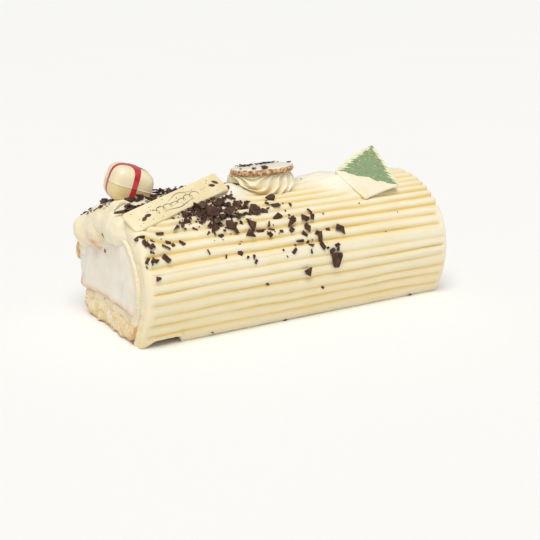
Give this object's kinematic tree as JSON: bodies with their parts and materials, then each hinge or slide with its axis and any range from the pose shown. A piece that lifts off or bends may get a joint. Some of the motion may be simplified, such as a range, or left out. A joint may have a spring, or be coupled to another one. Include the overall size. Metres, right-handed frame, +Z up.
{
  "type": "yule log cake",
  "caption": "Whole yule log cake: cream-filled sponge roll in combed buttercream, topped with white chocolate plaques, a gift bonbon, a piped rosette and dark chocolate flakes.",
  "frame": {"origin": "centre of the log's flat underside", "axes": "+X along the log to the right, +Y to its back, +Z up"},
  "size_m": [0.2509, 0.1143, 0.1073],
  "materials": {
    "buttercream": "whipped butter cream, smooth with a soft sheen",
    "sponge": "open-crumbed yellow sponge, dull",
    "filling_cream": "whitish cream, smeared and soft",
    "white_chocolate": "moulded white chocolate, satin",
    "dark_chocolate": "broken dark chocolate sheet, satin"
  },
  "bodies": {
    "root": {"buttercream_coat": "buttercream", "piped_rosette": "buttercream", "sponge_roll": "sponge", "cream_filling": "filling_cream", "gift_bonbon": "white_chocolate", "greeting_plaque": "white_chocolate", "tree_plaque": "white_chocolate", "topper_disc": "white_chocolate", "chocolate_flake_1": "dark_chocolate", "chocolate_flake_2": "dark_chocolate", "chocolate_flake_3": "dark_chocolate", "chocolate_flake_4": "dark_chocolate", "chocolate_flake_5": "dark_chocolate", "chocolate_flake_6": "dark_chocolate", "chocolate_flake_7": "dark_chocolate"}
  },
  "joints": []
}
